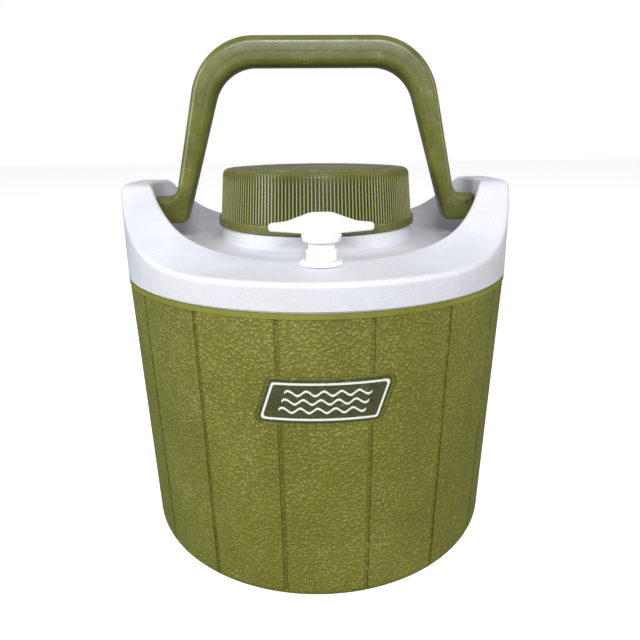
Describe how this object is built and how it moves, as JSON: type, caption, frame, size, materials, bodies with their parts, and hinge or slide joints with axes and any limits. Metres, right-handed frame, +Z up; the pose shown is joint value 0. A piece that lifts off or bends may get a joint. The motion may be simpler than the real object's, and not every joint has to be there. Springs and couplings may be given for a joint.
{
  "type": "insulated picnic jug",
  "caption": "Round insulated picnic jug with staved tapered body, white shoulder with two ears, swinging bail handle, ribbed screw cap and pull-out pour stopper.",
  "frame": {"origin": "on the floor, at the centre of the round base", "axes": "+Z up, the front with badge and pour spout towards -Y, the handle's pivot axis along X"},
  "size_m": [0.23, 0.23, 0.2948],
  "materials": {
    "olive_grained_polyethylene": "satin",
    "olive_smooth_polypropylene": "satin",
    "white_textured_polyethylene": "matte",
    "white_smooth_polyethylene": "satin",
    "insulating_foam": "matte",
    "badge_foil": "satin",
    "badge_ink": "satin",
    "spring_steel": "satin",
    "seal_rubber": "matte"
  },
  "bodies": {
    "jug": {"outer_shell": "olive_grained_polyethylene", "fill_plug": "olive_grained_polyethylene", "badge_plate": "badge_foil", "badge_print": "badge_ink", "body_foam": "insulating_foam", "liner": "white_smooth_polyethylene", "neck_seal": "seal_rubber", "shoulder": "white_textured_polyethylene", "spout_grommet": "white_textured_polyethylene", "pour_spout": "white_smooth_polyethylene", "spout_seal": "seal_rubber"},
    "bail": {"bail_handle": "olive_smooth_polypropylene", "pivot_clips": "spring_steel"},
    "gasket": {"cap_gasket": "seal_rubber"},
    "cap": {"cap_shell": "olive_smooth_polypropylene", "cap_disc": "olive_smooth_polypropylene", "cap_foam": "insulating_foam", "cap_inner": "white_smooth_polyethylene"},
    "stopper": {"spout_stopper": "white_smooth_polyethylene", "stopper_seal": "seal_rubber"}
  },
  "joints": [
    {"name": "handle_swing", "type": "hinge", "parent": "jug", "child": "bail", "pos_m": [0, 0, 0.1983], "axis": [1, 0, 0], "range_deg": [-89, 79.5]},
    {"name": "cap_rise", "type": "slide", "parent": "jug", "child": "gasket", "axis": [0, 0, 1], "range_m": [0, 0.0255]},
    {"name": "cap_turn", "type": "hinge", "parent": "gasket", "child": "cap", "pos_m": [0, 0, 0.203], "axis": [0, 0, 1], "range_deg": [0, 1440]},
    {"name": "stopper_pull", "type": "slide", "parent": "jug", "child": "stopper", "axis": [0, 0, 1], "range_m": [0, 0.06]}
  ],
  "couplings": [
    {"joint": "cap_rise", "follows": "cap_turn", "m_per_rad": 0.0010106}
  ]
}
